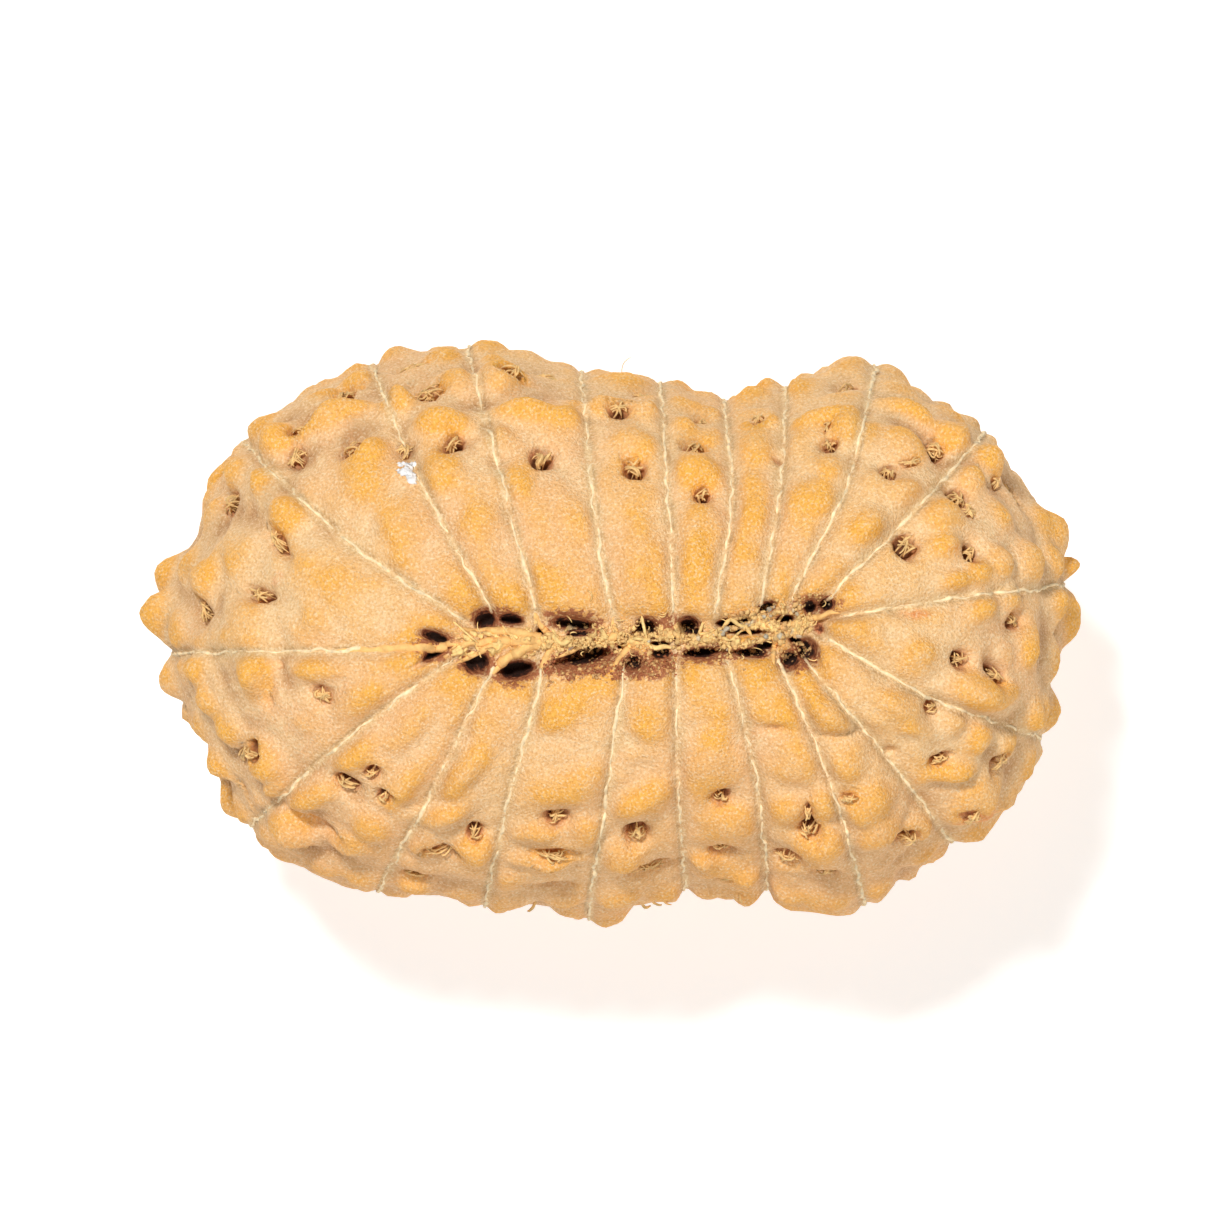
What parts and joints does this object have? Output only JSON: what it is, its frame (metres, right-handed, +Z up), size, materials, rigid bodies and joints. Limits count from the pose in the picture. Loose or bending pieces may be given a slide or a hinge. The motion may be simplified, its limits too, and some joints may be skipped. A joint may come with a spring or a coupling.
{
  "type": "twenty mukhi rudraksha",
  "caption": "Long ribbed fruit stone with seams that run between two slits, and knobs and pits all round its rim and flank.",
  "frame": {"origin": "on the resting plane, under the middle of the outline", "axes": "+X along the longest side, +Y across it, +Z up along the hole axis, from the lower slit to the upper one"},
  "size_m": [0.0379, 0.0239, 0.0211],
  "materials": {
    "stone": "dry matte woody shell, orange tan on the knobs and paler and dusty in the grooves"
  },
  "bodies": {
    "root": {"rudraksha": "stone"}
  },
  "joints": []
}
